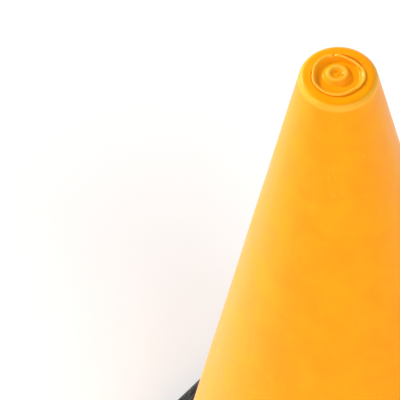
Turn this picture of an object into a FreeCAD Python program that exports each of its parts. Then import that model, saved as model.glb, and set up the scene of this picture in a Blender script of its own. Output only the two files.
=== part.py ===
import FreeCAD, Part
import os
import Sketcher

# A two-part traffic cone, 500 mm high, in millimetres.
#
# The origin is on the ground at the centre of the square base, with +Z up the cone's axis.
# A thin amber shell stands in a heavy rubber base that slides over it from above. A flange round
# the shell's foot is held in a recess under the base by a flat ring and eight push rivets.
# The crown of the shell has a round seat, closed by a plug that pulls straight up and out.

DIMENSIONS = {
    # cone shell
    "shoulder_radius": 21.54,    # sharp corner between the side and the crown, before rounding
    "shoulder_height": 498.8,
    "side_taper": 0.2025,        # radius gained for each millimetre down the side
    "crown_slope": 0.03,         # fall of the crown for each millimetre outwards
    "shoulder_fillet": 6.5,
    "shell_wall": 2.4,
    "crown_core": 5,             # depth of solid crown outside the seat's cup
    "flange_radius": 131,
    "flange_over": 14,           # height of the flange's upper face
    "flange_thickness": 2.6,
    "nesting_rib_low": 200,
    "nesting_rib_high": 400,
    "nesting_rib_depth": 3,
    "nesting_rib_width": 3,
    # seat in the crown
    "seat_radius": 15.1,
    "seat_floor": 494,
    "seat_lip": 0.5,             # rounding of the seat's mouth
    "cup_wall": 2.2,
    "ledge_thickness": 2.4,
    "ledge_hole_radius": 12.2,
    # plug
    "plug_top": 500,
    "plug_radius": 14.8,
    "rim_thickness": 1.2,
    "rim_rounding": 0.35,
    "dish_floor": 497.5,
    "dish_floor_thickness": 1.8,
    "dish_slope_height": 1.5,    # the dish's wall leans in over this height above its floor
    "dish_slope_width": 2.3,
    "boss_foot_radius": 8,
    "boss_radius": 5.8,
    "boss_height": 2.2,
    "dimple_radius": 3.9,
    "dimple_floor_radius": 2.6,
    "dimple_depth": 1.3,
    "gate_radius": 0.8,
    "gate_height": 0.6,
    "skirt_radius": 11.5,
    "skirt_wall": 1.5,
    "skirt_foot": 483,
    "bead_radius": 11.9,
    "bead_top": 491.2,
    "bead_width": 2.4,
    "skirt_slot_width": 3,
    "skirt_slot_top": 492,
    # rubber base
    "base_side": 295,
    "base_corner": 38,
    "foot_height": 3,
    "foot_radius": 20,
    "foot_place": 112,
    "collar_top": 34,
    "collar_radius": 122.5,
    "collar_rounding": 2,
    "deck_inner": 28,            # height of the sloping deck where it meets the collar
    "deck_reach": 210,
    "deck_outer": 15,            # height that the deck would have at its reach
    "deck_rounding": 5,
    "base_gap": 0.2,             # between the base's tapered hole and the shell
    "recess_radius": 132,
    "gusset_width": 6,
    "gusset_reach": 138,
    "grip_length": 80,
    "grip_depth": 8,
    "grip_height": 10,
    # ring and rivets
    "ring_inner_radius": 118.6,
    "ring_thickness": 1.5,
    "rivet_pitch_radius": 126,
    "rivet_hole_radius": 3,
    "rivet_hole_depth": 9,
    "rivet_head_radius": 4.8,
    "rivet_head_height": 1.8,
    "rivet_shank_radius": 2.3,
    "rivet_barb_radius": 2.9,
    "rivet_barb_pitch": 2.4,
    "rivet_bore_radius": 1.3,
    "pin_radius": 1.2,
    "pin_head_radius": 2.2,
    "pin_head_height": 0.8,
}

RIVETS = 8
NESTING_RIBS = 8
GUSSETS = 8
FEET = 4
GRIPS = 4
SKIRT_SLOTS = 4
RIVET_BARBS = 3

document = FreeCAD.newDocument("traffic_cone")
sheet = document.addObject("Spreadsheet::Sheet", "dims")
for row, (alias, value) in enumerate(DIMENSIONS.items(), start=1):
    sheet.set(f"A{row}", alias)
    sheet.set(f"B{row}", str(value))
    sheet.setAlias(f"B{row}", alias)
document.recompute()


def side_at(height, inset="0"):
    """Expression for the radius of the shell's side at a height, less an inset."""
    return f"dims.shoulder_radius + dims.side_taper * (dims.shoulder_height - ({height})) - ({inset})"


FLANGE_UNDER = "dims.flange_over - dims.flange_thickness"
CUP_UNDER = "dims.seat_floor - dims.ledge_thickness"
RING_UNDER = "dims.flange_over - dims.flange_thickness - dims.ring_thickness"
RIVET_TIP = "dims.flange_over + dims.rivet_hole_depth - 1"


def new_body(label):
    """An empty body, whose label names its file."""
    body = document.addObject("PartDesign::Body", label)
    body.Label = label
    return body


def origin_feature(body, role):
    """The plane or axis of a body's own origin that has this role."""
    return next(feature for feature in body.Origin.OriginFeatures if feature.Role == role)


def new_sketch(body, name, role, height=None):
    """A sketch on one of the body's origin planes, raised along its normal where a height is given."""
    sketch = body.newObject("Sketcher::SketchObject", name)
    sketch.AttachmentSupport = [(origin_feature(body, role), "")]
    sketch.MapMode = "FlatFace"
    if height:
        sketch.setExpression("AttachmentOffset.Base.z", height)
    return sketch


def constrain(sketch, value, *constraint):
    """A constraint driven by an expression."""
    index = sketch.addConstraint(Sketcher.Constraint(*constraint, 1.0))
    sketch.setExpression(f"Constraints[{index}]", value)


def polygon(sketch, corners):
    """A closed outline whose corners are (x, y) expressions; "0" puts a corner on an axis."""
    count = len(corners)
    points = [FreeCAD.Vector(10 + 5 * i, 3 * i * i, 0) for i in range(count)]
    for i in range(count):
        sketch.addGeometry(Part.LineSegment(points[i], points[(i + 1) % count]), False)
    for i in range(count):
        sketch.addConstraint(Sketcher.Constraint("Coincident", i, 2, (i + 1) % count, 1))
    for i, (across, up) in enumerate(corners):
        if across == "0":
            sketch.addConstraint(Sketcher.Constraint("PointOnObject", i, 1, -2))
        else:
            constrain(sketch, across, "DistanceX", -1, 1, i, 1)
        if up == "0":
            sketch.addConstraint(Sketcher.Constraint("PointOnObject", i, 1, -1))
        else:
            constrain(sketch, up, "DistanceY", -1, 1, i, 1)


def circle(sketch, radius, across=None, up=None):
    """A circle on the sketch's origin, or at the place that the expressions give."""
    index = sketch.addGeometry(Part.Circle(FreeCAD.Vector(across and 50 or 0, up and 50 or 0, 0),
                                           FreeCAD.Vector(0, 0, 1), 5), False)
    constrain(sketch, radius, "Radius", index)
    if across:
        constrain(sketch, across, "DistanceX", -1, 1, index, 3)
    else:
        sketch.addConstraint(Sketcher.Constraint("PointOnObject", index, 3, -2))
    if up:
        constrain(sketch, up, "DistanceY", -1, 1, index, 3)
    else:
        sketch.addConstraint(Sketcher.Constraint("PointOnObject", index, 3, -1))


def centred_rectangle(sketch, width, depth):
    """A rectangle centred on the sketch's origin."""
    corners = [(-10, -10), (10, -10), (10, 10), (-10, 10)]
    points = [FreeCAD.Vector(x, y, 0) for x, y in corners]
    for i in range(4):
        sketch.addGeometry(Part.LineSegment(points[i], points[(i + 1) % 4]), False)
    for i in range(4):
        sketch.addConstraint(Sketcher.Constraint("Coincident", i, 2, (i + 1) % 4, 1))
    for i in (0, 2):
        sketch.addConstraint(Sketcher.Constraint("Horizontal", i))
    for i in (1, 3):
        sketch.addConstraint(Sketcher.Constraint("Vertical", i))
    sketch.addConstraint(Sketcher.Constraint("Symmetric", 0, 1, 2, 1, -1, 1))
    constrain(sketch, width, "DistanceX", 0, 1, 0, 2)
    constrain(sketch, depth, "DistanceY", 1, 1, 1, 2)


def turned(body, kind, name, corners, axis_at=None):
    """A Revolution or Groove of a polygon about the Z axis, or about a parallel line at a radius."""
    sketch = new_sketch(body, name + "_outline", "XZ_Plane")
    polygon(sketch, corners)
    axis = "V_Axis"
    if axis_at:
        line = Part.LineSegment(FreeCAD.Vector(30, 0, 0), FreeCAD.Vector(30, 10, 0))
        index = sketch.addGeometry(line, True)
        sketch.addConstraint(Sketcher.Constraint("Vertical", index))
        sketch.addConstraint(Sketcher.Constraint("PointOnObject", index, 1, -1))
        constrain(sketch, "10", "DistanceY", index, 1, index, 2)
        constrain(sketch, axis_at, "DistanceX", -1, 1, index, 1)
        axis = "Axis0"
    feature = body.newObject("PartDesign::" + kind, name)
    feature.Profile = (sketch, [""])
    feature.ReferenceAxis = (sketch, [axis])
    feature.Angle = 360
    sketch.Visibility = False
    document.recompute()
    return feature


def raised(body, name, sketch, length, midplane=False):
    """A Pad of a sketch."""
    feature = body.newObject("PartDesign::Pad", name)
    feature.Profile = (sketch, [""])
    feature.setExpression("Length", length)
    feature.Midplane = midplane
    document.recompute()
    return feature


def sunk(body, name, sketch, length, upwards):
    """A Pocket of a horizontal sketch, cut upwards or downwards from it."""
    feature = body.newObject("PartDesign::Pocket", name)
    feature.Profile = (sketch, [""])
    feature.setExpression("Length", length)
    feature.Reversed = upwards
    document.recompute()
    return feature


def round_about(body, feature, count):
    """Repeats a feature evenly about the Z axis."""
    pattern = body.newObject("PartDesign::PolarPattern", feature.Name + "_pattern")
    pattern.Originals = [feature]
    pattern.Axis = (origin_feature(body, "Z_Axis"), [""])
    pattern.Angle = 360
    pattern.Occurrences = count
    body.Tip = pattern
    document.recompute()
    return pattern


def smoothed(body, name, wanted, radius):
    """A Fillet of the edges of the body's tip that the test picks."""
    base = body.Tip
    edges = [f"Edge{i}" for i, edge in enumerate(base.Shape.Edges, start=1) if wanted(edge)]
    if not edges:
        raise RuntimeError(f"{name} found no edge to round")
    feature = body.newObject("PartDesign::Fillet", name)
    feature.Base = (base, edges)
    feature.setExpression("Radius", radius)
    document.recompute()
    return feature


def ring_edge(radius, height):
    """A test for a whole circle about the Z axis, of this radius and at this height."""
    def matches(edge):
        box = edge.BoundBox
        level = box.ZLength < 0.01 and abs(box.ZMin - height) < 0.01
        return level and abs(box.XMax - radius) < 0.01 and abs(box.XMin + radius) < 0.01
    return matches


def make_cone_shell():
    """The thin shell: a tapered side, a rounded shoulder, a seat in the crown and a foot flange."""
    body = new_body("cone_shell")
    crown_peak = "dims.shoulder_height + dims.crown_slope * dims.shoulder_radius"
    turned(body, "Revolution", "outer_form", [
        ("0", FLANGE_UNDER),
        ("dims.flange_radius", FLANGE_UNDER),
        ("dims.flange_radius", "dims.flange_over"),
        (side_at("dims.flange_over"), "dims.flange_over"),
        ("dims.shoulder_radius", "dims.shoulder_height"),
        ("0", crown_peak),
    ])
    shoulder = ring_edge(sheet.shoulder_radius, sheet.shoulder_height)
    smoothed(body, "shoulder", shoulder, "dims.shoulder_fillet")
    below = FLANGE_UNDER + " - 1"
    core_top = "dims.shoulder_height - dims.crown_core"
    turned(body, "Groove", "cavity", [
        ("0", below),
        (side_at(below, "dims.shell_wall"), below),
        (side_at(core_top, "dims.shell_wall"), core_top),
        ("dims.seat_radius + dims.cup_wall", core_top),
        ("dims.seat_radius + dims.cup_wall", CUP_UNDER),
        ("0", CUP_UNDER),
    ])
    turned(body, "Groove", "plug_seat", [
        ("0", CUP_UNDER + " - 1"),
        ("dims.ledge_hole_radius", CUP_UNDER + " - 1"),
        ("dims.ledge_hole_radius", "dims.seat_floor"),
        ("dims.seat_radius", "dims.seat_floor"),
        ("dims.seat_radius", "dims.plug_top + 5"),
        ("0", "dims.plug_top + 5"),
    ])
    mouth_height = sheet.shoulder_height + sheet.crown_slope * (sheet.shoulder_radius - sheet.seat_radius)
    smoothed(body, "seat_mouth", ring_edge(sheet.seat_radius, mouth_height), "dims.seat_lip")
    holes = new_sketch(body, "rivet_hole_outline", "XY_Plane", FLANGE_UNDER + " - 1")
    circle(holes, "dims.rivet_hole_radius", across="dims.rivet_pitch_radius")
    hole = sunk(body, "rivet_hole", holes, "dims.flange_thickness + 2", upwards=True)
    round_about(body, hole, RIVETS)
    rib_outline = new_sketch(body, "nesting_rib_outline", "XZ_Plane")
    low, high = "dims.nesting_rib_low", "dims.nesting_rib_high"
    embedded = "dims.shell_wall / 2"
    reach = "dims.shell_wall + dims.nesting_rib_depth"
    polygon(rib_outline, [
        (side_at(low, embedded), low),
        (side_at(high, embedded), high),
        (side_at(high, reach), high + " - 8"),
        (side_at(low, reach), low + " + 8"),
    ])
    rib = raised(body, "nesting_rib", rib_outline, "dims.nesting_rib_width", midplane=True)
    round_about(body, rib, NESTING_RIBS)
    return body


def make_top_plug():
    """The plug: a dish with a thin upstanding rim, a dimpled boss and a slotted skirt with a bead."""
    body = new_body("top_plug")
    dish_wall = "dims.plug_radius - dims.rim_thickness"
    dish_foot = dish_wall + " - dims.dish_slope_width"
    boss_top = "dims.dish_floor + dims.boss_height"
    dimple_floor = boss_top + " - dims.dimple_depth"
    under_floor = "dims.dish_floor - dims.dish_floor_thickness"
    bead_foot = "dims.bead_top - dims.bead_width"
    turned(body, "Revolution", "plug_form", [
        ("0", dimple_floor + " + dims.gate_height"),
        ("dims.gate_radius", dimple_floor + " + dims.gate_height"),
        ("dims.gate_radius", dimple_floor),
        ("dims.dimple_floor_radius", dimple_floor),
        ("dims.dimple_radius", boss_top),
        ("dims.boss_radius", boss_top),
        ("dims.boss_foot_radius", "dims.dish_floor"),
        (dish_foot, "dims.dish_floor"),
        (dish_wall, "dims.dish_floor + dims.dish_slope_height"),
        (dish_wall, "dims.plug_top - dims.rim_rounding"),
        (dish_wall + " + dims.rim_rounding", "dims.plug_top"),
        ("dims.plug_radius - dims.rim_rounding", "dims.plug_top"),
        ("dims.plug_radius", "dims.plug_top - dims.rim_rounding"),
        ("dims.plug_radius", "dims.seat_floor"),
        ("dims.skirt_radius", "dims.seat_floor"),
        ("dims.skirt_radius", "dims.bead_top"),
        ("dims.bead_radius", "dims.bead_top - 0.4"),
        ("dims.bead_radius", bead_foot + " + 0.4"),
        ("dims.skirt_radius", bead_foot),
        ("dims.skirt_radius", "dims.skirt_foot + 1"),
        ("dims.skirt_radius - 1", "dims.skirt_foot"),
        ("dims.skirt_radius - dims.skirt_wall", "dims.skirt_foot"),
        ("dims.skirt_radius - dims.skirt_wall", under_floor),
        ("0", under_floor),
    ])
    slot_outline = new_sketch(body, "skirt_slot_outline", "XZ_Plane")
    polygon(slot_outline, [
        ("dims.skirt_radius - dims.skirt_wall - 1", "dims.skirt_foot - 1"),
        ("dims.bead_radius + 1", "dims.skirt_foot - 1"),
        ("dims.bead_radius + 1", "dims.skirt_slot_top"),
        ("dims.skirt_radius - dims.skirt_wall - 1", "dims.skirt_slot_top"),
    ])
    slot = body.newObject("PartDesign::Pocket", "skirt_slot")
    slot.Profile = (slot_outline, [""])
    slot.setExpression("Length", "dims.skirt_slot_width")
    slot.Midplane = True
    document.recompute()
    round_about(body, slot, SKIRT_SLOTS)
    return body


def make_rubber_base():
    """The weighted base: a square slab with a sloping deck, a collar round the cone and four feet."""
    body = new_body("rubber_base")
    slab_outline = new_sketch(body, "slab_outline", "XY_Plane", "dims.foot_height")
    centred_rectangle(slab_outline, "dims.base_side", "dims.base_side")
    raised(body, "slab", slab_outline, "dims.collar_top - dims.foot_height")
    smoothed(body, "corners", lambda edge: edge.BoundBox.ZLength > 1, "dims.base_corner")
    turned(body, "Groove", "deck", [
        ("dims.collar_radius", "dims.collar_top + 1"),
        ("dims.collar_radius", "dims.deck_inner"),
        ("dims.deck_reach", "dims.deck_outer"),
        ("dims.deck_reach", "dims.collar_top + 1"),
    ])
    half = sheet.base_side / 2

    def on_deck_edge(edge):
        middle = edge.valueAt((edge.FirstParameter + edge.LastParameter) / 2)
        outside = max(abs(middle.x), abs(middle.y)) > half - sheet.base_corner
        beyond_collar = middle.x ** 2 + middle.y ** 2 > sheet.gusset_reach ** 2
        return outside and beyond_collar and edge.BoundBox.ZMin > sheet.foot_height + 1 \
            and edge.BoundBox.ZLength < sheet.deck_inner - sheet.deck_outer

    smoothed(body, "deck_edge", on_deck_edge, "dims.deck_rounding")
    gusset_outline = new_sketch(body, "gusset_outline", "XZ_Plane")
    polygon(gusset_outline, [
        ("dims.collar_radius - 2", "dims.deck_inner - 5"),
        ("dims.gusset_reach", "dims.deck_inner - 5"),
        ("dims.collar_radius", "dims.collar_top - 3"),
        ("dims.collar_radius - 2", "dims.collar_top - 3"),
    ])
    gusset = raised(body, "gusset", gusset_outline, "dims.gusset_width", midplane=True)
    round_about(body, gusset, GUSSETS)
    hole_gap = "-dims.base_gap"
    above = "dims.collar_top + 1"
    turned(body, "Groove", "cone_hole", [
        ("0", "0"),
        ("dims.recess_radius", "0"),
        ("dims.recess_radius", "dims.flange_over"),
        (side_at("dims.flange_over", hole_gap), "dims.flange_over"),
        (side_at(above, hole_gap), above),
        ("0", above),
    ])
    smoothed(body, "collar_edge", ring_edge(sheet.collar_radius, sheet.collar_top), "dims.collar_rounding")
    foot_outline = new_sketch(body, "foot_outline", "XY_Plane")
    circle(foot_outline, "dims.foot_radius", across="dims.foot_place", up="dims.foot_place")
    foot = raised(body, "foot", foot_outline, "dims.foot_height")
    round_about(body, foot, FEET)
    hole_outline = new_sketch(body, "rivet_socket_outline", "XY_Plane", "dims.flange_over - 1")
    circle(hole_outline, "dims.rivet_hole_radius", across="dims.rivet_pitch_radius")
    socket = sunk(body, "rivet_socket", hole_outline, "dims.rivet_hole_depth + 1", upwards=True)
    round_about(body, socket, RIVETS)
    grip_outline = new_sketch(body, "grip_outline", "XZ_Plane")
    inner = "dims.base_side / 2 - dims.grip_depth"
    outer = "dims.base_side / 2 + 1"
    polygon(grip_outline, [
        (inner + " + 3", "dims.foot_height - 1"),
        (outer, "dims.foot_height - 1"),
        (outer, "dims.foot_height + dims.grip_height"),
        (inner, "dims.foot_height + dims.grip_height - 3"),
    ])
    grip = body.newObject("PartDesign::Pocket", "grip")
    grip.Profile = (grip_outline, [""])
    grip.setExpression("Length", "dims.grip_length")
    grip.Midplane = True
    document.recompute()
    round_about(body, grip, GRIPS)
    return body


def make_retaining_ring():
    """The flat ring that clamps the shell's flange, with a hole for each rivet."""
    body = new_body("retaining_ring")
    outline = new_sketch(body, "ring_outline", "XY_Plane", RING_UNDER)
    circle(outline, "dims.flange_radius")
    circle(outline, "dims.ring_inner_radius")
    raised(body, "ring", outline, "dims.ring_thickness")
    holes = new_sketch(body, "ring_hole_outline", "XY_Plane", RING_UNDER + " - 1")
    circle(holes, "dims.rivet_hole_radius", across="dims.rivet_pitch_radius")
    hole = sunk(body, "ring_hole", holes, "dims.ring_thickness + 2", upwards=True)
    round_about(body, hole, RIVETS)
    return body


def make_rivet_bodies():
    """Eight barbed rivets, each a tube with a flat head under the ring."""
    body = new_body("rivet_bodies")
    centre = "dims.rivet_pitch_radius + "
    bore = centre + "dims.rivet_bore_radius"
    shank = centre + "dims.rivet_shank_radius"
    barb = centre + "dims.rivet_barb_radius"
    head_foot = RING_UNDER + " - dims.rivet_head_height"
    corners = [
        (bore, head_foot),
        (centre + "dims.rivet_head_radius", head_foot),
        (centre + "dims.rivet_head_radius", RING_UNDER),
        (shank, RING_UNDER),
    ]
    for i in reversed(range(RIVET_BARBS)):
        barb_foot = f"{RIVET_TIP} - {i + 1} * dims.rivet_barb_pitch"
        corners.append((shank, barb_foot))
        corners.append((barb, barb_foot))
        corners.append((shank, f"{RIVET_TIP} - {i} * dims.rivet_barb_pitch - 0.4"))
    corners.append((bore, RIVET_TIP))
    rivet = turned(body, "Revolution", "rivet", corners, axis_at="dims.rivet_pitch_radius")
    round_about(body, rivet, RIVETS)
    return body


def make_rivet_pins():
    """The eight drive pins, pushed up the rivets' bores."""
    body = new_body("rivet_pins")
    centre = "dims.rivet_pitch_radius"
    pin = centre + " + dims.pin_radius"
    head = centre + " + dims.pin_head_radius"
    head_top = RING_UNDER + " - dims.rivet_head_height"
    head_foot = head_top + " - dims.pin_head_height"
    drive_pin = turned(body, "Revolution", "drive_pin", [
        (centre, head_foot),
        (head + " - 0.4", head_foot),
        (head, head_foot + " + 0.4"),
        (head, head_top),
        (pin, head_top),
        (pin, RIVET_TIP + " - 1"),
        (centre + " + 0.5", RIVET_TIP),
        (centre, RIVET_TIP),
    ], axis_at=centre)
    round_about(body, drive_pin, RIVETS)
    return body


nodes = [
    make_cone_shell(),
    make_top_plug(),
    make_rubber_base(),
    make_retaining_ring(),
    make_rivet_bodies(),
    make_rivet_pins(),
]
document.recompute()

for item in document.Objects:
    if "Invalid" in item.State or "Error" in item.State:
        raise RuntimeError(f"{item.Label} failed: {item.State}")
for node in nodes:
    if node.Shape.isNull() or not node.Shape.isValid():
        raise RuntimeError(f"{node.Label} has no valid shape")

os.makedirs("parts", exist_ok=True)
for node in nodes:
    node.Shape.exportStep(f"parts/{node.Label}.step")
    box = node.Shape.BoundBox
    print(f"{node.Label}: {len(node.Shape.Solids)} solid(s), {node.Shape.Volume / 1000:.1f} cm3, "
          f"x {box.XMin:.1f}..{box.XMax:.1f}, z {box.ZMin:.1f}..{box.ZMax:.1f}")
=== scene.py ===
import math

import bmesh
import bpy
import numpy as np
from mathutils import Matrix, Vector, noise


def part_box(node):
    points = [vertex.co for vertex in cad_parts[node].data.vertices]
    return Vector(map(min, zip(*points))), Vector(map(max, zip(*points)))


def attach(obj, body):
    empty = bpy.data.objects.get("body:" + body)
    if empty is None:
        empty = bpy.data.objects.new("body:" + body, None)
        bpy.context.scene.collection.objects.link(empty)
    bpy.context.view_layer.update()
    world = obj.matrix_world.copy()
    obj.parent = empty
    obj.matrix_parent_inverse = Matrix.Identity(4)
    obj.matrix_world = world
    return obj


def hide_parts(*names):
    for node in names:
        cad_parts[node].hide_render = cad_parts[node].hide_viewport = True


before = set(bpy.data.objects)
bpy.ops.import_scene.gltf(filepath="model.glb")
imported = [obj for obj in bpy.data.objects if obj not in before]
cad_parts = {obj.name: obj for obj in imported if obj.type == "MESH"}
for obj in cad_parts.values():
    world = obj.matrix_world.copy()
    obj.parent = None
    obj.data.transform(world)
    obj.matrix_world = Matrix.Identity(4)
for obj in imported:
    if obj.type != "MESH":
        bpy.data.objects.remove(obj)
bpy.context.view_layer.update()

MM = 0.001
ARC_STEP = 0.3               # millimetres between the points of an arc

# ---- framing ----
VIEW_AZIMUTH = 40            # degrees; the square base is turned this far to the camera
VIEW_ELEVATION = 51.75       # degrees above the horizon, at the crown
VIEW_DISTANCE = 2.2          # metres from the crown's centre
CROWN_SHARE = 0.0976         # how much of the frame's width the shoulder's radius fills
CROWN_PLACE = (0.3458, 0.312)    # crown's centre, right and up from the frame's middle, in frame widths

# ---- light: bearing, elevation and spread in degrees, and power ----
KEY_LIGHT = (VIEW_AZIMUTH - 128, 27, 9, 2.6)       # on the left, beyond the cone
FILL_LIGHT = (VIEW_AZIMUTH - 68, 42, 16, 0.95)     # on the left, nearer the camera
FRONT_LIGHT = (VIEW_AZIMUTH + 26, 44, 28, 0.88)    # on the camera's right
HORIZON_LIGHT = 1.1
ZENITH_LIGHT = 0.0

# ---- shell, in millimetres ----
SHOULDER_RADIUS = 21.54
SHOULDER_HEIGHT = 498.8
SIDE_TAPER = 0.2025
CROWN_SLOPE = 0.045
SHOULDER_ROUNDING = 6.5
WALL = 2.4
CROWN_CORE = 5               # depth of solid crown outside the seat's cup
SEAT_RADIUS = 15.1
SEAT_FLOOR = 494
CUP_RADIUS = 17.3
CUP_FOOT = 491.6
LEDGE_HOLE = 12.2
FLANGE_TOP = 14
FLANGE_FOOT = 11.4
FLANGE_RADIUS = 131
NESTING_RIBS = 8
RIB_LOW = 200
RIB_HIGH = 400
RIB_RUN_IN = 8               # height over which a rib rises from the wall
RIB_DEPTH = 3
RIB_HALF_WIDTH = 1.5
SHELL_SEGMENTS = 320
SHELL_PAINTED_HIGHLIGHT = (493.4, 495.8, 497.8, 498.35)      # heights between which the shoulder is painted paler, a painted highlight

# ---- base, in millimetres ----
BASE_HALF = 147.5
BASE_CORNER = 38
COLLAR_TOP = 34
COLLAR_RADIUS = 122.5
COLLAR_ROUNDING = 2
COLLAR_FILLET = 1.6
HOLE_GAP = 0.3               # room between the base and the shell
DECK_INNER = 28
DECK_FALL = 13 / 87.5
EDGE_ROUNDING = 5
GRIP_ENDS = (38, 42)         # from a side's middle, where a grip's hollow starts to fade and is gone
# The side below the edge: a ring's height, and the inset and height that the grip moves it to.
SIDE_RINGS = (
    (14.5, 0, 14.5), (13.4, 0.6, 13.2), (12.2, 2, 12.6), (10.6, 5, 11.2), (9, 7.6, 9.9), (7.2, 7.6, 8),
    (5.6, 6.6, 5.6), (4.2, 5.8, 4), (3.3, 5.2, 3.2),
)
RECESS_RADIUS = 132
RECESS_LEAD_IN = 0.8
GUSSETS = 8
GUSSET_REACH = 138
FOOT_HEIGHT = 3
FOOT_RADIUS = 20
FOOT_PLACE = 112
FOOT_SEGMENTS = 64
BASE_SEGMENTS = 480
CRUMB_FROM = (123.5, 3.5)    # radius and height beyond which the rubber's surface is uneven
CRUMB_DEPTH = 0.9

# ---- plug, in millimetres ----
PLUG_RADIUS = 14.8
RIM_TOP = 499.85
RIM_THICKNESS = 1.2
DISH_FLOOR = 497.3
DISH_FLOOR_THICKNESS = 1.3
BOSS_TOP = 499.75
BOSS_SHIFT = (-1.15, 0.6)        # where the boss sits off the plug's axis
DIMPLE_DEPTH = 1.3
SKIRT_RADIUS = 11.5
SKIRT_WALL = 1.5
SKIRT_FOOT = 483
SLOT_TOP = 492
SLOT_HALF_WIDTH = 1.5
FINGERS = 4
FINGER_SEGMENTS = 48
BEAD_TOP = 491.2
BEAD_FOOT = 488.8
BEAD_HEIGHT = 0.4
PLUG_SEGMENTS = 288
PLUG_PAINTED_HIGHLIGHT = (498.9, 499.7, 501, 502)      # heights between which the rim and boss are painted paler, a painted highlight
# How far the rim bends in or out at each bearing, in degrees from +X: a flat with a sharp bend
# at its end, two smaller corners, and a rounder half.
RIM_BENDS = (
    (0, -0.3), (8, 0.0), (20, 0.5), (35, 0.6), (50, 0.3), (62, -0.2), (67, -0.9), (90, -1.5),
    (104, -1.5), (120, -0.8), (132, -0.1), (142, 0.1), (156, 0.7), (172, 0.75), (192, 0.45),
    (214, -0.1), (230, 0.2), (244, 0.45), (262, 0.15), (280, 0.0), (306, -0.05), (322, -0.35),
    (348, -1.0),
)
RIM_NOTCH = (139, 3.0, -0.7)     # bearing and half width in degrees, and depth
RIM_BUMP = (129, 4.0, 0.15)
# Torn gate marks in the dimple: place from the boss's centre, radius and height.
GATE_MARKS = (
    (-1.3, 0.9, 0.5, -0.8), (2.8, 1.3, 0.4, -0.8), (1.7, -2.1, 0.45, -0.7), (0.4, -2.7, 0.5, -0.7),
    (0.1, 0.4, 0.55, 0.5), (-1.6, -1.4, 0.4, 0.3), (1.3, -0.3, 0.3, -0.4), (3.0, 2.2, 0.35, 0.3),
)


# ---------------------------------------------------------------- shapes

def ease(value, low, high):
    """0 below low, 1 above high, and a smooth step between them."""
    share = np.clip((value - low) / (high - low), 0, 1)
    return share * share * (3 - 2 * share)


def corner_arc(corner, before, after, radius):
    """Points round a corner, given the vectors from it to its neighbours."""
    reach_limit = 0.49 * min(np.linalg.norm(before), np.linalg.norm(after))
    one = before / np.linalg.norm(before)
    two = after / np.linalg.norm(after)
    opening = math.acos(np.clip(one @ two, -1, 1))
    reach = min(radius / math.tan(opening / 2), reach_limit)
    radius = reach * math.tan(opening / 2)
    centre = corner + (one + two) / np.linalg.norm(one + two) * radius / math.sin(opening / 2)
    start = corner + one * reach - centre
    end = corner + two * reach - centre
    sweep = math.pi - opening
    steps = np.linspace(0, 1, max(4, math.ceil(sweep * radius / ARC_STEP)))
    return [centre + (start * math.sin((1 - t) * sweep) + end * math.sin(t * sweep)) / math.sin(sweep)
            for t in steps]


def rounded_path(corners, closed):
    """Points of an outline of (radius, height, rounding, step) corners.

    The step spaces the points on the run that follows the corner.
    """
    places = [np.array(corner[:2], float) for corner in corners]
    count = len(corners)
    arcs = []
    for i, (_, _, rounding, _) in enumerate(corners):
        if rounding:
            before = places[i - 1] - places[i]
            after = places[(i + 1) % count] - places[i]
            arcs.append(corner_arc(places[i], before, after, rounding))
        else:
            arcs.append([places[i]])
    points = []
    for i in range(count):
        points.extend(arcs[i])
        if closed or i < count - 1:
            start, end = arcs[i][-1], arcs[(i + 1) % count][0]
            pieces = math.ceil(np.linalg.norm(end - start) / corners[i][3])
            points.extend(start + (end - start) * t / pieces for t in range(1, pieces))
    return np.array(points)


def loft_faces(rows, sides, closed=False):
    """Faces between neighbouring rows of points, each row joined to itself round its sides."""
    faces = []
    for i in range(rows if closed else rows - 1):
        low, high = i * sides, (i + 1) % rows * sides
        for j in range(sides):
            k = (j + 1) % sides
            faces.append((low + j, low + k, high + k, high + j))
    return faces


def bar_faces(rows, sides):
    """Faces of a bar: a cap on its first and last row of points, and the sides between."""
    count = rows * sides
    return [tuple(range(sides)), tuple(range(count - sides, count))] + loft_faces(rows, sides)


def turned(bearing, outward, across, height):
    """The point this far outward and across when one looks along a bearing."""
    return (outward * math.cos(bearing) - across * math.sin(bearing),
            outward * math.sin(bearing) + across * math.cos(bearing), height)


def lathe(outline, segments, form):
    """Vertices and faces turned about the Z axis.

    An outline that ends on the axis is closed there by a fan; any other is a ring's section.
    form(radius, bearing, height) gives x, y and z.
    """
    bearing = np.arange(segments) * 2 * math.pi / segments
    on_axis = outline[0, 0] < 1e-6
    rings = outline[1:-1] if on_axis else outline
    grid = np.stack(form(rings[:, :1], bearing[None, :], rings[:, 1:2]), axis=-1)
    vertices = grid.reshape(-1, 3).tolist()
    faces = loft_faces(len(rings), segments, closed=not on_axis)
    if on_axis:
        origin = np.zeros((1, 1))
        for pole, ring in ((outline[0], 0), (outline[-1], len(rings) - 1)):
            centre = np.mean(grid[ring], axis=0)
            height = form(origin, origin, origin + pole[1])[2].item()
            vertices.append((centre[0], centre[1], height))
            for j in range(segments):
                faces.append((len(vertices) - 1, ring * segments + j, ring * segments + (j + 1) % segments))
    return vertices, faces


def skin(name, parts, sharp=40):
    """An object from (vertices, faces) lists in millimetres, with its normals turned outwards.

    Its faces are smooth, and its edges sharp where they turn by more than this many degrees.
    """
    mesh = bmesh.new()
    for vertices, faces in parts:
        made = [mesh.verts.new([value * MM for value in vertex]) for vertex in vertices]
        for face in faces:
            mesh.faces.new([made[i] for i in face])
    bmesh.ops.recalc_face_normals(mesh, faces=mesh.faces)
    data = bpy.data.meshes.new(name)
    mesh.to_mesh(data)
    mesh.free()
    made = bpy.data.objects.new(name, data)
    bpy.context.scene.collection.objects.link(made)
    data.shade_smooth()
    data.set_sharp_from_angle(angle=math.radians(sharp))
    return made


def side_at(height, inset=0):
    """Radius of the shell's side at a height, less an inset."""
    return SHOULDER_RADIUS + SIDE_TAPER * (SHOULDER_HEIGHT - height) - inset


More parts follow.
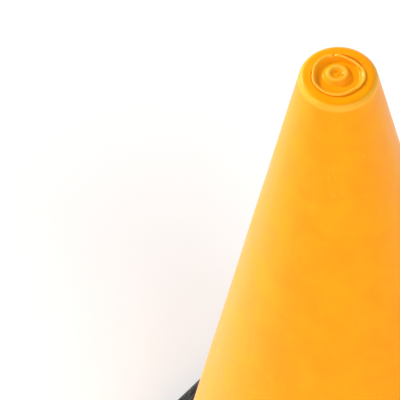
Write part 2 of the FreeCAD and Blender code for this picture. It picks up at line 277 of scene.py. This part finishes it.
def shell_form(radius, bearing, height):
    """A little out of round above the base, as a moulded shell is, and sunk a hair at the crown."""
    wave = 0.5 * np.cos(2 * bearing + 0.6) + 0.3 * np.cos(3 * bearing - 1.1)
    wave = wave + 0.12 * np.sin(height / 31) * np.cos(5 * bearing + height / 90)
    free = ease(height, 45, 150) * ease(radius, 15, 60)
    radius = radius + wave * free
    lift = 0.07 * np.cos(2 * bearing + 2.2) * ease(height, 497, 499) * ease(radius, 15.4, 18)
    sunk = 0.25 * ease(height, 495, 499)
    return radius * np.cos(bearing), radius * np.sin(bearing), height + lift - sunk


def nesting_rib(bearing):
    """One of the ribs down the inside that keep stacked cones apart, with chamfered long edges."""
    half = RIB_HALF_WIDTH
    vertices = []
    spans = ((RIB_LOW, 0), (RIB_LOW + RIB_RUN_IN, RIB_DEPTH), (RIB_HIGH - RIB_RUN_IN, RIB_DEPTH),
             (RIB_HIGH, 0))
    for height, proud in spans:
        outer = side_at(height, WALL / 2)
        inner = side_at(height, WALL) - proud
        section = ((outer, half + 0.6), (inner + 0.7, half + 0.3), (inner, half - 0.5),
                   (inner, 0.5 - half), (inner + 0.7, -half - 0.3), (outer, -half - 0.6))
        vertices.extend(turned(bearing, radius, across, height) for radius, across in section)
    return vertices, bar_faces(len(spans), len(section))


def make_shell():
    """The amber shell, from the seat's ledge over the shoulder to the flange and back inside."""
    crown_at_seat = SHOULDER_HEIGHT + CROWN_SLOPE * (SHOULDER_RADIUS - SEAT_RADIUS)
    core_top = SHOULDER_HEIGHT - CROWN_CORE
    outline = rounded_path([
        (LEDGE_HOLE, SEAT_FLOOR, 0.3, 0.6),
        (SEAT_RADIUS, SEAT_FLOOR, 0.3, 0.6),
        (SEAT_RADIUS, crown_at_seat, 0.2, 0.4),
        (SHOULDER_RADIUS, SHOULDER_HEIGHT, SHOULDER_ROUNDING, 3.5),
        (side_at(FLANGE_TOP), FLANGE_TOP, 0, 3),
        (FLANGE_RADIUS, FLANGE_TOP, 0.5, 2),
        (FLANGE_RADIUS, FLANGE_FOOT, 0.5, 3),
        (side_at(FLANGE_FOOT, WALL), FLANGE_FOOT, 1, 8),
        (side_at(core_top, WALL), core_top, 1, 0.8),
        (CUP_RADIUS, core_top, 0.5, 0.8),
        (CUP_RADIUS, CUP_FOOT, 0.5, 0.8),
        (LEDGE_HOLE, CUP_FOOT, 0.3, 0.8),
    ], closed=True)
    ribs = [nesting_rib(i * 2 * math.pi / NESTING_RIBS) for i in range(NESTING_RIBS)]
    return skin("shell_skin", [lathe(outline, SHELL_SEGMENTS, shell_form)] + ribs)


def around(bearing, values):
    """Values given at bearings in degrees, spread smoothly round the circle."""
    degrees = np.degrees(bearing) % 360
    spots = np.array([spot for spot, _ in values], float)
    sizes = np.array([size for _, size in values])
    turns = (-2, -1, 0, 1, 2)
    return sum(np.interp((degrees + turn) % 360, spots, sizes, period=360) for turn in turns) / len(turns)


def hump(bearing, spot, half_width, size):
    """A smooth rise at one bearing."""
    away = (np.degrees(bearing) - spot + 180) % 360 - 180
    return size * np.exp(-(away / half_width) ** 2)


def plug_form(radius, bearing, height):
    """Bends the rim, moves the boss off centre and tears the gate."""
    bend = around(bearing, RIM_BENDS)
    inwards = np.minimum(bend, 0) * ease(height, 497.4, 499.2)
    outwards = np.maximum(bend, 0) * ease(height, 498.9, 499.5)
    rim_share = ease(radius, 11.3, 13.3)
    bent = radius + (inwards + outwards) * rim_share
    rim_height = hump(bearing, *RIM_NOTCH) + hump(bearing, *RIM_BUMP)
    rim_height = rim_height + 0.08 * np.cos(3 * bearing + 1) - 0.08
    height = height + rim_height * ease(height, 498.9, 499.7) * ease(radius, 12.8, 13.6)
    x = bent * np.cos(bearing)
    y = bent * np.sin(bearing)
    top = ease(height, 496.9, 497.5)
    for place_x, place_y, size, rise in GATE_MARKS:
        away = np.hypot(x - place_x, y - place_y) / size
        height = height + rise * np.exp(-away ** 2) * top * (radius < 5)
    shifted = (1 - ease(radius, 8.2, 11.3)) * top
    sway = 0.12 * np.sin(2 * bearing + 0.4) * ease(radius, 2, 4) * (1 - ease(radius, 7.5, 9)) * top
    x = x + BOSS_SHIFT[0] * shifted + sway * np.cos(bearing)
    y = y + BOSS_SHIFT[1] * shifted + sway * np.sin(bearing)
    tilt = 0.1 * np.cos(bearing - 2.6) * ease(radius, 2, 4) * (1 - ease(radius, 6, 8)) * top
    return x, y, height + tilt


def finger(middle):
    """One of the four spring fingers of the plug's skirt, from slot to slot, with its snap bead."""
    inner, outer, slack = SKIRT_RADIUS - SKIRT_WALL, SKIRT_RADIUS, 0.05
    crest = outer + BEAD_HEIGHT
    overlap = 0.6                # how far the finger reaches up into the ring above the slots
    outline = rounded_path([
        (outer - slack, SLOT_TOP + overlap, 0, 0.6),
        (outer - slack, SLOT_TOP, 0, 0.5),
        (outer, BEAD_TOP, 0.2, 0.3),
        (crest, BEAD_TOP - BEAD_HEIGHT, 0.2, 0.4),
        (crest, BEAD_FOOT + BEAD_HEIGHT, 0.2, 0.4),
        (outer, BEAD_FOOT, 0.2, 0.6),
        (outer, SKIRT_FOOT + 1, 0.3, 0.4),
        (inner + 0.5, SKIRT_FOOT, 0.2, 0.3),
        (inner, SKIRT_FOOT, 0.2, 0.8),
        (inner + slack, SLOT_TOP, 0, 0.6),
        (inner + slack, SLOT_TOP + overlap, 0, 0.6),
    ], closed=True)
    half = math.pi / FINGERS - math.asin(SLOT_HALF_WIDTH / SKIRT_RADIUS)
    bearings = np.linspace(middle - half, middle + half, FINGER_SEGMENTS)
    vertices = [turned(bearing, radius, 0, height) for bearing in bearings for radius, height in outline]
    return vertices, bar_faces(len(bearings), len(outline))


def make_plug():
    """The plug, from its dimple over boss, dish and rim to the skirt and back under the floor."""
    dish_wall = PLUG_RADIUS - RIM_THICKNESS
    skirt_inner = SKIRT_RADIUS - SKIRT_WALL
    under_floor = DISH_FLOOR - DISH_FLOOR_THICKNESS
    outline = rounded_path([
        (0, BOSS_TOP - DIMPLE_DEPTH, 0, 0.2),
        (2.5, BOSS_TOP - DIMPLE_DEPTH, 0.9, 0.2),
        (5.2, BOSS_TOP + 0.5, 2.1, 0.2),
        (8.0, DISH_FLOOR, 1.7, 0.2),
        (dish_wall - 1.6, DISH_FLOOR, 1.0, 0.2),
        (dish_wall - 0.2, RIM_TOP, 0.7, 0.15),
        (PLUG_RADIUS, RIM_TOP, 0.6, 0.25),
        (PLUG_RADIUS, SEAT_FLOOR, 0.4, 0.6),
        (SKIRT_RADIUS, SEAT_FLOOR, 0.4, 0.6),
        (SKIRT_RADIUS, SLOT_TOP, 0.2, 0.4),
        (skirt_inner, SLOT_TOP, 0.2, 0.4),
        (skirt_inner, under_floor, 1, 0.8),
        (0, under_floor, 0, 0.8),
    ], closed=False)
    fingers = [finger((i + 0.5) * 2 * math.pi / FINGERS) for i in range(FINGERS)]
    return skin("plug_skin", [lathe(outline, PLUG_SEGMENTS, plug_form)] + fingers)


def square_reach(bearing, inset):
    """Distance from the axis to the base's rounded square outline, drawn in by an inset."""
    folded = np.abs((bearing + math.pi / 4) % (math.pi / 2) - math.pi / 4)
    half = BASE_HALF - inset
    corner = BASE_CORNER - inset
    centre = BASE_HALF - BASE_CORNER
    flat = half / np.cos(folded)
    along = centre * (np.cos(folded) + np.sin(folded))
    curved = along + np.sqrt(np.maximum(along ** 2 - 2 * centre ** 2 + corner ** 2, 0))
    return np.where(half * np.tan(folded) <= centre, flat, curved)


def deck_height(radius):
    """Height of the base's sloping top at a radius."""
    return DECK_INNER - DECK_FALL * (radius - COLLAR_RADIUS)


def base_rings(bearing):
    """Rings of (radius, height) round the base's section, from the cone's hole outwards and back."""
    side = (bearing + math.pi / 4) % (math.pi / 2) - math.pi / 4
    across = np.abs(BASE_HALF * np.tan(side))
    grip = 1 - ease(across, *GRIP_ENDS)
    level = np.ones_like(bearing)
    hole_top, hole_foot = side_at(COLLAR_TOP, -HOLE_GAP), side_at(FLANGE_TOP, -HOLE_GAP)
    rings = [(hole_top * level, (COLLAR_TOP - 0.6) * level), ((hole_top + 0.6) * level, COLLAR_TOP * level)]
    for turn in np.linspace(0, math.pi / 2, 6):
        rings.append(((COLLAR_RADIUS - COLLAR_ROUNDING + COLLAR_ROUNDING * math.sin(turn)) * level,
                      (COLLAR_TOP - COLLAR_ROUNDING + COLLAR_ROUNDING * math.cos(turn)) * level))
    for turn in np.linspace(0, math.pi / 2 - 0.15, 5):
        rings.append(((COLLAR_RADIUS + COLLAR_FILLET - COLLAR_FILLET * math.cos(turn)) * level,
                      (DECK_INNER + 1.4 - COLLAR_FILLET * math.sin(turn)) * level))
    deck_outer = square_reach(bearing, EDGE_ROUNDING + 1)
    for share in np.linspace(0, 1, 16)[1:]:
        radius = COLLAR_RADIUS + COLLAR_FILLET + (deck_outer - COLLAR_RADIUS - COLLAR_FILLET) * share
        rings.append((radius, deck_height(radius)))
    edge = deck_height(square_reach(bearing, EDGE_ROUNDING))
    for turn in np.linspace(0.1, math.pi / 2, 9):
        rings.append((square_reach(bearing, EDGE_ROUNDING - EDGE_ROUNDING * math.sin(turn)),
                      edge - EDGE_ROUNDING + EDGE_ROUNDING * math.cos(turn)))
    for height, grip_inset, grip_height in SIDE_RINGS:
        inset = grip_inset * grip + (0.7 if height < 4 else 0) * (1 - grip)
        rings.append((square_reach(bearing, 0) - inset, height + (grip_height - height) * grip))
    sole = square_reach(bearing, 0) - 2 * (1 - grip) - 6.2 * grip
    recess_mouth = RECESS_RADIUS + RECESS_LEAD_IN
    for share in (0, 0.3, 0.6, 1):
        rings.append((sole + (recess_mouth - sole) * share, FOOT_HEIGHT * level))
    rings.append((RECESS_RADIUS * level, (FOOT_HEIGHT + RECESS_LEAD_IN) * level))
    rings.append((RECESS_RADIUS * level, (FLANGE_TOP - 0.5) * level))
    rings.append(((RECESS_RADIUS - 0.5) * level, FLANGE_TOP * level))
    rings.append(((RECESS_RADIUS + hole_foot) / 2 * level, FLANGE_TOP * level))
    rings.append((hole_foot * level, FLANGE_TOP * level))
    return rings


def gusset(bearing):
    """A web between the collar and the deck, with a rounded back."""
    spans = ((COLLAR_RADIUS - 2, 31.2), (COLLAR_RADIUS + 0.5, 30.9), (130, 28.2), (136.5, 26.3),
             (GUSSET_REACH, 25.0))
    vertices = []
    for radius, top in spans:
        section = ((3.4, 23.0), (3.0, top - 1.0), (2.2, top - 0.3), (0.9, top),
                   (-0.9, top), (-2.2, top - 0.3), (-3.0, top - 1.0), (-3.4, 23.0))
        vertices.extend(turned(bearing, radius, across, height) for across, height in section)
    return vertices, bar_faces(len(spans), len(section))


def foot(x, y):
    """A round foot with a softened edge and a shallow hollow in its sole."""
    outline = rounded_path([
        (0, 0.8, 0, 1.5),
        (12, 0.6, 0, 1.5),
        (14, 0, 1, 1.0),
        (FOOT_RADIUS, 0, 0.8, 0.8),
        (FOOT_RADIUS, FOOT_HEIGHT + 1, 0, 0.8),
        (0, FOOT_HEIGHT + 1, 0, 3),
    ], closed=False)

    def form(radius, bearing, height):
        return x + radius * np.cos(bearing), y + radius * np.sin(bearing), height + 0 * bearing

    return lathe(outline, FOOT_SEGMENTS, form)


def make_base():
    """The rubber base: a soft-edged slab lofted from the collar's circle to a rounded square."""
    bearing = np.arange(BASE_SEGMENTS) * 2 * math.pi / BASE_SEGMENTS
    rings = base_rings(bearing)
    radius = np.array([ring[0] for ring in rings])
    height = np.array([ring[1] for ring in rings])
    grid = np.stack([radius * np.cos(bearing), radius * np.sin(bearing), height], axis=-1)
    parts = [(grid.reshape(-1, 3).tolist(), loft_faces(len(rings), BASE_SEGMENTS, closed=True))]
    parts.extend(gusset(i * 2 * math.pi / GUSSETS) for i in range(GUSSETS))
    parts.extend(foot(FOOT_PLACE * i, FOOT_PLACE * j) for i in (-1, 1) for j in (-1, 1))
    made = skin("base_skin", parts, sharp=60)
    make_uneven(made.data)
    return made


def make_uneven(data):
    """Sinks the rubber's open surfaces here and there, and keeps them within the base's square."""
    # All normals are read first, because each one read after a move works out every normal again.
    normals = [vertex.normal.copy() for vertex in data.vertices]
    limit = BASE_HALF * MM
    least_radius, least_height = CRUMB_FROM[0] * MM, CRUMB_FROM[1] * MM
    for vertex, normal in zip(data.vertices, normals):
        place = vertex.co.copy()
        if math.hypot(place.x, place.y) > least_radius and place.z > least_height:
            uneven = noise.noise(place * 40) * 0.5 + noise.noise(place * 150) * 0.2
            place = place - normal * abs(uneven) * CRUMB_DEPTH * MM
            vertex.co.x = min(max(place.x, -limit), limit)
            vertex.co.y = min(max(place.y, -limit), limit)
            vertex.co.z = place.z


# ---------------------------------------------------------------- finishes

class Finish:
    """A node material, with short calls that add a node and return its output."""

    def __init__(self, name):
        self.material = bpy.data.materials.new(name)
        self.material.use_nodes = True
        self.tree = self.material.node_tree
        self.shader = self.tree.nodes["Principled BSDF"]
        self.place = self.node("ShaderNodeTexCoord").outputs["Object"]

    def node(self, kind, inputs=(), **settings):
        made = self.tree.nodes.new(kind)
        for key, value in settings.items():
            setattr(made, key, value)
        for key, value in dict(inputs).items():
            self.put(made.inputs[key], value)
        return made

    def put(self, socket, value):
        if isinstance(value, bpy.types.NodeSocket):
            self.tree.links.new(value, socket)
        else:
            socket.default_value = value

    def set(self, **values):
        """Sets or links the shader's own sockets; an underscore stands for a space."""
        for key, value in values.items():
            self.put(self.shader.inputs[key.replace("_", " ")], value)

    def stretched(self, x, y, z):
        inputs = {"Vector": self.place, "Scale": (x, y, z)}
        return self.node("ShaderNodeMapping", inputs).outputs["Vector"]

    def noise(self, scale, detail=4, roughness=0.55, distortion=0, place=None):
        inputs = {"Vector": place or self.place, "Scale": scale, "Detail": detail,
                  "Roughness": roughness, "Distortion": distortion}
        return self.node("ShaderNodeTexNoise", inputs).outputs["Fac"]

    def cells(self, scale, output="Distance"):
        inputs = {"Vector": self.place, "Scale": scale}
        return self.node("ShaderNodeTexVoronoi", inputs).outputs[output]

    def fit(self, value, low, high, to_low=0.0, to_high=1.0):
        """Fits low..high to to_low..to_high, eased and held at the ends."""
        inputs = {"Value": value, "From Min": low, "From Max": high, "To Min": to_low, "To Max": to_high}
        return self.node("ShaderNodeMapRange", inputs, interpolation_type="SMOOTHSTEP").outputs["Result"]

    def math(self, operation, one, two=0.0):
        return self.node("ShaderNodeMath", {0: one, 1: two}, operation=operation).outputs["Value"]

    def mix(self, share, one, two):
        """Mixes two colours; the node's colour sockets share their names, so they go by number."""
        made = self.node("ShaderNodeMix", data_type="RGBA")
        self.put(made.inputs["Factor"], share)
        self.put(made.inputs[6], one)
        self.put(made.inputs[7], two)
        return made.outputs[2]

    def height(self):
        return self.node("ShaderNodeSeparateXYZ", {"Vector": self.place}).outputs["Z"]

    def bump(self, height, depth, normal=None):
        """Bump of a 0..1 height map, its full depth in metres."""
        made = self.node("ShaderNodeBump", {"Height": height, "Distance": depth, "Strength": 1.0})
        if normal:
            self.put(made.inputs["Normal"], normal)
        return made.outputs["Normal"]


def grey(value):
    return (value, value, value, 1)


def scratches(finish, scale, turn, amount):
    """A 0..1 map of fine straight marks, broken up so that only some places have them."""
    inputs = {"Vector": finish.place, "Rotation": turn, "Scale": (1, 1, 0.04)}
    along = finish.node("ShaderNodeMapping", inputs).outputs["Vector"]
    lines = finish.fit(finish.noise(scale, 2, 0.5, place=along), 0.66, 0.72)
    patches = finish.fit(finish.noise(38, 2), 0.56 - amount, 0.7 - amount)
    return finish.math("MULTIPLY", lines, patches)


def grime(finish, colour):
    """Adds sparse dark specks, and dust that thickens towards the ground."""
    specks = finish.fit(finish.cells(230), 0.10, 0.05)
    specks = finish.math("MULTIPLY", specks, finish.fit(finish.noise(60, 2), 0.6, 0.68))
    colour = finish.mix(finish.math("MULTIPLY", specks, 0.5), colour, (0.35, 0.12, 0.01, 1))
    dusty = finish.fit(finish.height(), 0.12, 0.03, 0, 0.16)
    dusty = finish.math("MULTIPLY", dusty, finish.fit(finish.noise(90, 5, 0.7), 0.35, 0.7))
    return finish.mix(dusty, colour, (0.42, 0.25, 0.11, 1))


def painted_highlight_band(finish, heights):
    """A patchy 0..1 map of painted highlight between the two middle heights, fading to nothing at the outer
    two.
    """
    above = finish.fit(finish.height(), heights[0] * MM, heights[1] * MM)
    below = finish.fit(finish.height(), heights[3] * MM, heights[2] * MM)
    band = finish.math("MULTIPLY", above, below)
    return finish.math("MULTIPLY", band, finish.fit(finish.noise(160, 3), 0.2, 0.6, 0.5, 1))


def amber_plastic(name, worn, highlight_heights):
    """Satin amber polyethylene: cloudy pigment, drawn flow lines, scuffs, grime and orange peel.

    It has a painted highlight: paler amber between the heights given to the band map.
    """
    finish = Finish(name)
    clouds = finish.noise(45, 5, 0.6, 0.6)
    flow = finish.noise(70, 4, 0.6, 0.3, place=finish.stretched(1, 1, 0.07))
    fine = finish.noise(420, 3, 0.6)
    colour = finish.mix(finish.fit(clouds, 0.3, 0.7), (1.0, 0.330, 0.0, 1), (1.0, 0.368, 0.0, 1))
    colour = finish.mix(finish.fit(flow, 0.45, 0.75, 0, 0.35), colour, (1.0, 0.42, 0.006, 1))
    colour = finish.mix(finish.fit(fine, 0.5, 0.8, 0, 0.2), colour, (0.93, 0.31, 0.0, 1))
    marks = finish.math("MAXIMUM", scratches(finish, 900, (0.5, 0.3, 0), worn),
                        scratches(finish, 700, (-0.7, 1.1, 0.4), worn - 0.02))
    colour = finish.mix(finish.math("MULTIPLY", marks, 0.45), colour, (1.0, 0.52, 0.12, 1))
    colour = grime(finish, colour)
    # Painted highlight: paler amber where the shoulder, rim and boss catch the light.
    painted_highlight = painted_highlight_band(finish, highlight_heights)
    colour = finish.mix(finish.math("MULTIPLY", painted_highlight, 0.68), colour, (1.0, 0.52, 0.05, 1))
    gloss = finish.fit(clouds, 0.25, 0.75, 0.30, 0.42)
    gloss = finish.math("ADD", gloss, finish.math("MULTIPLY", marks, 0.18))
    gloss = finish.math("ADD", gloss, finish.fit(fine, 0.4, 0.75, 0, 0.07))
    peel = finish.bump(finish.noise(650, 3, 0.5), 0.00006)
    drawn = finish.bump(flow, 0.00022, peel)
    scored = finish.bump(marks, -0.00004, drawn)
    finish.set(Base_Color=colour, Roughness=gloss, Normal=scored, Specular_IOR_Level=0.26,
               Specular_Tint=(1.0, 0.78, 0.36, 1))
    return finish.material


def crumb_rubber():
    """Recycled rubber crumb: packed dark granules, a few coloured ones, dust and scuffs."""
    finish = Finish("crumb_rubber")
    grain = finish.cells(420)
    tone = finish.cells(420, output="Color")
    value = finish.node("ShaderNodeSeparateColor", {"Color": tone}).outputs["Red"]
    colour = finish.mix(finish.fit(value, 0, 1), grey(0.012), grey(0.042))
    odd = finish.fit(value, 0.955, 0.965)
    colour = finish.mix(finish.math("MULTIPLY", odd, 0.55), colour, (0.16, 0.085, 0.05, 1))
    patches = finish.noise(22, 6, 0.65)
    powder = finish.fit(finish.noise(300, 4, 0.7), 0.35, 0.7)
    dust = finish.math("MULTIPLY", finish.fit(patches, 0.4, 0.75), powder)
    colour = finish.mix(finish.math("MULTIPLY", dust, 0.35), colour, (0.17, 0.155, 0.13, 1))
    scuffs = scratches(finish, 500, (0.4, 0.9, 0.2), 0.03)
    colour = finish.mix(finish.math("MULTIPLY", scuffs, 0.4), colour, grey(0.12))
    gloss = finish.fit(patches, 0.3, 0.7, 0.58, 0.82)
    packed = finish.bump(finish.fit(grain, 0.1, 0.7), -0.0005)
    worn = finish.bump(patches, 0.0008, packed)
    finish.set(Base_Color=colour, Roughness=gloss, Normal=worn, Specular_IOR_Level=0.35)
    return finish.material


def galvanised():
    """Zinc-coated steel with a spangle, dull patches and white rust beginning."""
    finish = Finish("galvanised")
    tone = finish.cells(130, output="Color")
    value = finish.node("ShaderNodeSeparateColor", {"Color": tone}).outputs["Green"]
    colour = finish.mix(value, (0.42, 0.44, 0.46, 1), (0.68, 0.70, 0.72, 1))
    stain = finish.fit(finish.noise(60, 6, 0.7), 0.55, 0.75)
    colour = finish.mix(finish.math("MULTIPLY", stain, 0.5), colour, (0.55, 0.54, 0.50, 1))
    gloss = finish.math("ADD", finish.fit(value, 0, 1, 0.28, 0.45), finish.math("MULTIPLY", stain, 0.3))
    finish.set(Base_Color=colour, Roughness=gloss, Normal=finish.bump(value, 0.00003), Metallic=1.0)
    return finish.material


def nylon(name, value):
    """Moulded nylon with faint draw marks and a fine matt grain."""
    finish = Finish(name)
    cloud = finish.noise(300, 4)
    colour = finish.mix(cloud, grey(value * 0.75), grey(value * 1.25))
    gloss = finish.fit(finish.noise(900, 3), 0.3, 0.7, 0.38, 0.55)
    grain = finish.bump(finish.noise(2500, 3), 0.00003)
    finish.set(Base_Color=colour, Roughness=gloss, Normal=grain)
    return finish.material


def paint(node, made):
    """Gives a CAD node this material."""
    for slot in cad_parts[node].material_slots:
        slot.material = made


# ---------------------------------------------------------------- pieces

shell = make_shell()
shell.data.materials.append(amber_plastic("amber_shell_paint", 0.0, SHELL_PAINTED_HIGHLIGHT))
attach(shell, "root")
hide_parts("cone_shell")

plug = make_plug()
plug.data.materials.append(amber_plastic("amber_plug_paint", -0.02, PLUG_PAINTED_HIGHLIGHT))
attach(plug, "plug")
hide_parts("top_plug")

base = make_base()
base.data.materials.append(crumb_rubber())
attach(base, "root")
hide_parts("rubber_base")

paint("retaining_ring", galvanised())
paint("rivet_bodies", nylon("rivet_nylon_paint", 0.05))
paint("rivet_pins", nylon("pin_nylon_paint", 0.12))

# ---------------------------------------------------------------- floor, light and camera

bpy.ops.mesh.primitive_plane_add(size=60)
floor = bpy.context.object
floor.name = "floor"
floor_finish = Finish("floor_paint")
floor_finish.set(Base_Color=(0.95, 0.95, 0.95, 1), Roughness=0.9, Specular_IOR_Level=0.1)
floor.data.materials.append(floor_finish.material)


def studio_world():
    """Even studio walls that darken towards the ceiling."""
    world = bpy.data.worlds.new("studio")
    world.use_nodes = True
    tree = world.node_tree
    place = tree.nodes.new("ShaderNodeTexCoord")
    parts = tree.nodes.new("ShaderNodeSeparateXYZ")
    level = tree.nodes.new("ShaderNodeMapRange")
    level.inputs["To Min"].default_value = HORIZON_LIGHT
    level.inputs["To Max"].default_value = ZENITH_LIGHT
    tree.links.new(place.outputs["Generated"], parts.inputs["Vector"])
    tree.links.new(parts.outputs["Z"], level.inputs["Value"])
    tree.links.new(level.outputs["Result"], tree.nodes["Background"].inputs["Strength"])
    tree.nodes["Background"].inputs["Color"].default_value = (1, 1, 1, 1)
    return world


def camera_frame(azimuth, elevation):
    """Unit vectors of the view: to its right, and from the object back to the camera."""
    turn, lift = math.radians(azimuth), math.radians(elevation)
    right = Vector((math.cos(turn), math.sin(turn), 0))
    level = Vector((math.sin(turn), -math.cos(turn), 0))
    return right, level * math.cos(lift) + Vector((0, 0, math.sin(lift)))


def studio_light(name, bearing, elevation, spread, power):
    """A far softbox, as wide as the spread in degrees, that shines on the object from one way."""
    data = bpy.data.lights.new(name, "SUN")
    data.energy = power
    data.angle = math.radians(spread)
    light = bpy.data.objects.new(name, data)
    light.rotation_mode = "QUATERNION"
    light.rotation_quaternion = (-camera_frame(bearing, elevation)[1]).to_track_quat("-Z", "Y")
    bpy.context.scene.collection.objects.link(light)


def aim_camera():
    """Stands the cone's axis upright in the picture, with the crown's centre at its place."""
    right, back = camera_frame(VIEW_AZIMUTH, VIEW_ELEVATION)
    crown = Vector((0, 0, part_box("cone_shell")[1].z))
    data = bpy.data.cameras.new("camera")
    camera = bpy.data.objects.new("camera", data)
    bpy.context.scene.collection.objects.link(camera)
    bpy.context.scene.camera = camera
    data.sensor_width = 36
    data.lens = data.sensor_width * CROWN_SHARE * VIEW_DISTANCE / (SHOULDER_RADIUS * MM)
    data.clip_end = 100
    slopes = [place * data.sensor_width / data.lens for place in CROWN_PLACE]
    seen = np.array([[1, 0, slopes[0]], [slopes[0], slopes[1], -1]]).T
    seen = seen / np.linalg.norm(seen, axis=0)
    seen = np.column_stack([seen, np.cross(seen[:, 0], seen[:, 1])])
    real = np.column_stack([right, -back, np.cross(right, -back)])
    turn = Matrix((real @ seen.T).tolist())
    camera.matrix_world = Matrix.Translation(crown + back * VIEW_DISTANCE) @ turn.to_4x4()


bpy.context.scene.world = studio_world()
studio_light("key", *KEY_LIGHT)
studio_light("fill", *FILL_LIGHT)
studio_light("front", *FRONT_LIGHT)
aim_camera()
bpy.context.scene.view_settings.view_transform = "Standard"
